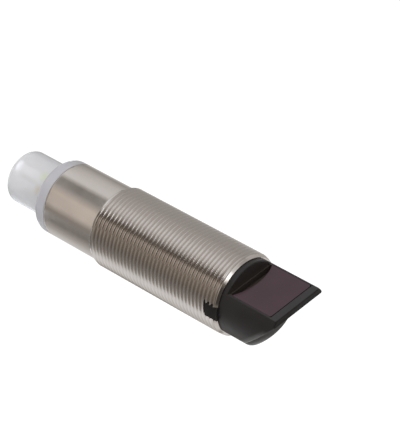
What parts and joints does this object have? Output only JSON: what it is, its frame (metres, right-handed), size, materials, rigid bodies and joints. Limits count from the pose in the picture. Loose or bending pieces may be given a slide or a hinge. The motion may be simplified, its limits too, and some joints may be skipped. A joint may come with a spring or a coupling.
{
  "type": "through-beam photoelectric sensor receiver",
  "caption": "Cylindrical photoelectric receiver with a threaded metal barrel, a black right-angle optical head with a dark window, and a milky plug-in end.",
  "frame": {"origin": "on the barrel's axis, at the middle of the threaded length", "axes": "+X along the barrel towards the optical head, +Z out of the window"},
  "size_m": [0.0783, 0.018, 0.018],
  "materials": {
    "nickel_plate": "nickel-plated, satin",
    "black_moulding": "fine moulded grain",
    "window_filter": "smooth dark filter",
    "mirror_coat": "front-coated glass",
    "seal_rubber": "matt",
    "tube_black": "matt, against stray light",
    "lens_clear": "polished",
    "sheet_steel": "tinned",
    "package_black": "moulded epoxy",
    "board_green": "lacquered laminate",
    "carrier_grey": "moulded",
    "ceramic_tan": "fired ceramic",
    "led_green": "clear",
    "led_yellow": "clear",
    "milky_moulding": "milky, lets light through",
    "contact_gold": "gold-plated"
  },
  "bodies": {
    "root": {"threaded_barrel": "nickel_plate", "deflector_head": "black_moulding", "front_window": "window_filter", "deflecting_mirror": "mirror_coat", "head_seal": "seal_rubber", "lens_tube": "tube_black", "collecting_lens": "lens_clear", "lens_retaining_ring": "tube_black", "aperture_disc": "sheet_steel", "photodiode": "package_black", "detector_board": "board_green", "main_board": "board_green", "board_carrier": "carrier_grey", "shield_can": "sheet_steel", "amplifier_chip": "package_black", "output_transistor": "package_black", "voltage_regulator": "package_black", "capacitors": "ceramic_tan", "resistors": "package_black", "green_led": "led_green", "yellow_led": "led_yellow", "end_cap": "milky_moulding", "rear_seal": "seal_rubber", "contact_carrier": "carrier_grey", "contact_pin_1": "contact_gold", "contact_pin_2": "contact_gold", "contact_pin_3": "contact_gold", "contact_pin_4": "contact_gold"}
  },
  "joints": []
}
